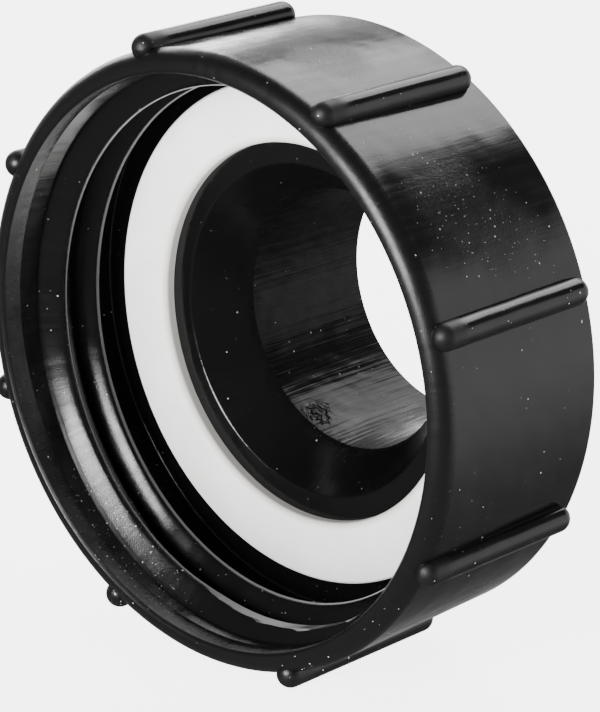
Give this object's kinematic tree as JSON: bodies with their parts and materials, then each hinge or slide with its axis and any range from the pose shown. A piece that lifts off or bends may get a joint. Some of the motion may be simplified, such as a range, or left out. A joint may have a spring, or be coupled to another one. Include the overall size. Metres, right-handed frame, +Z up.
{
  "type": "ibc tap adapter",
  "caption": "Screw-on tank outlet adapter: a ribbed moulded ring with a coarse internal thread, a flat gasket on its seat, a funnel and an externally threaded outlet spigot.",
  "frame": {"origin": "centre of the mouth, in the plane of the ring's front rim", "axes": "+Y along the bore from the mouth towards the outlet, +Z up as the adapter lies on its side, +X to its side"},
  "size_m": [0.0826, 0.0466, 0.0826],
  "materials": {
    "body": "glossy black moulded plastic with fine scratches",
    "gasket": "smooth off-white rubber"
  },
  "bodies": {
    "root": {"adapter_body": "body", "gasket": "gasket"}
  },
  "joints": []
}
